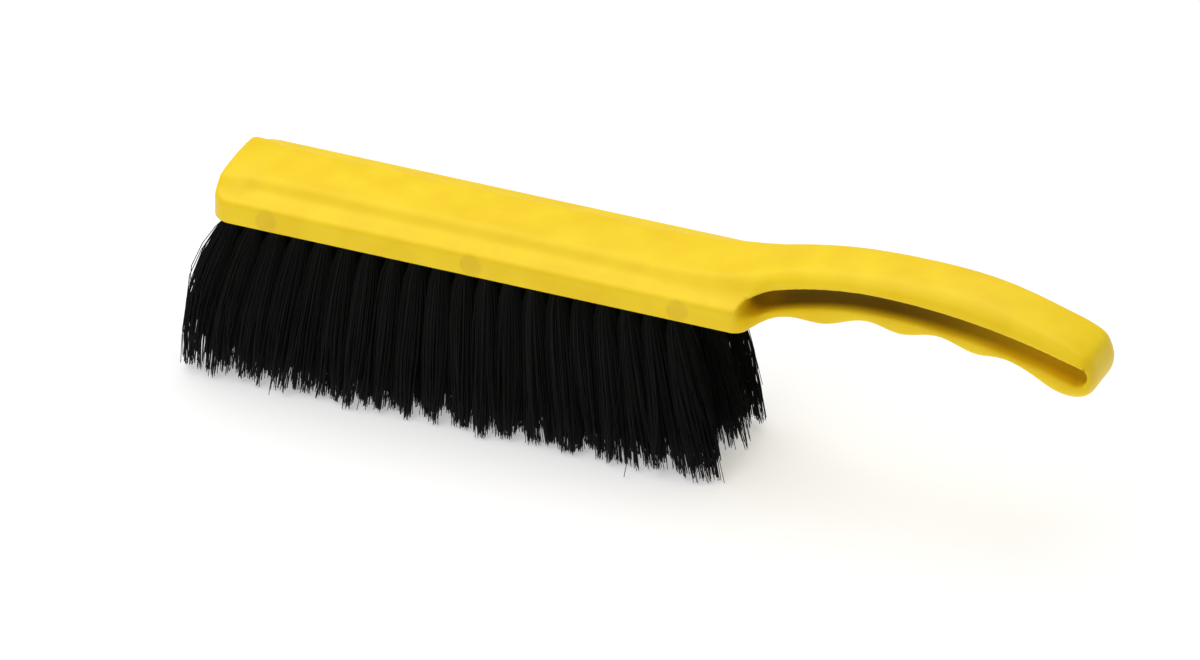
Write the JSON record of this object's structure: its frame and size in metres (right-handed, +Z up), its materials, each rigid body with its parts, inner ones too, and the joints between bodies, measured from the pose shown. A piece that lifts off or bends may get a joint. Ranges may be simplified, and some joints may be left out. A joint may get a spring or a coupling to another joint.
{
  "type": "hand brush",
  "caption": "One-piece moulded plastic hand brush with an arched finger-grip handle and a dense block of soft dark bristle tufts, used to sweep bees from combs.",
  "frame": {"origin": "centre of the bounding box in plan, at the level of the bristle tips that the brush stands on", "axes": "+X runs along the brush from the toe to the end of the handle, +Y across it, +Z up from the bristle tips to the block"},
  "size_m": [0.3278, 0.0488, 0.0853],
  "materials": {
    "moulding": "satin",
    "bristles": "satin",
    "anchor_wire": "satin"
  },
  "bodies": {
    "root": {"handle_block": "moulding", "tuft_line_01": "bristles", "tuft_line_02": "bristles", "tuft_line_03": "bristles", "tuft_line_04": "bristles", "tuft_line_05": "bristles", "tuft_line_06": "bristles", "tuft_line_07": "bristles", "tuft_line_08": "bristles", "tuft_line_09": "bristles", "tuft_line_10": "bristles", "tuft_line_11": "bristles", "tuft_line_12": "bristles", "tuft_line_13": "bristles", "tuft_line_14": "bristles", "tuft_line_15": "bristles", "tuft_line_16": "bristles", "tuft_line_17": "bristles", "tuft_line_18": "bristles", "tuft_line_19": "bristles", "tuft_line_20": "bristles", "anchor_line_01": "anchor_wire", "anchor_line_02": "anchor_wire", "anchor_line_03": "anchor_wire", "anchor_line_04": "anchor_wire", "anchor_line_05": "anchor_wire", "anchor_line_06": "anchor_wire", "anchor_line_07": "anchor_wire", "anchor_line_08": "anchor_wire", "anchor_line_09": "anchor_wire", "anchor_line_10": "anchor_wire", "anchor_line_11": "anchor_wire", "anchor_line_12": "anchor_wire", "anchor_line_13": "anchor_wire", "anchor_line_14": "anchor_wire", "anchor_line_15": "anchor_wire", "anchor_line_16": "anchor_wire", "anchor_line_17": "anchor_wire", "anchor_line_18": "anchor_wire", "anchor_line_19": "anchor_wire", "anchor_line_20": "anchor_wire"}
  },
  "joints": []
}
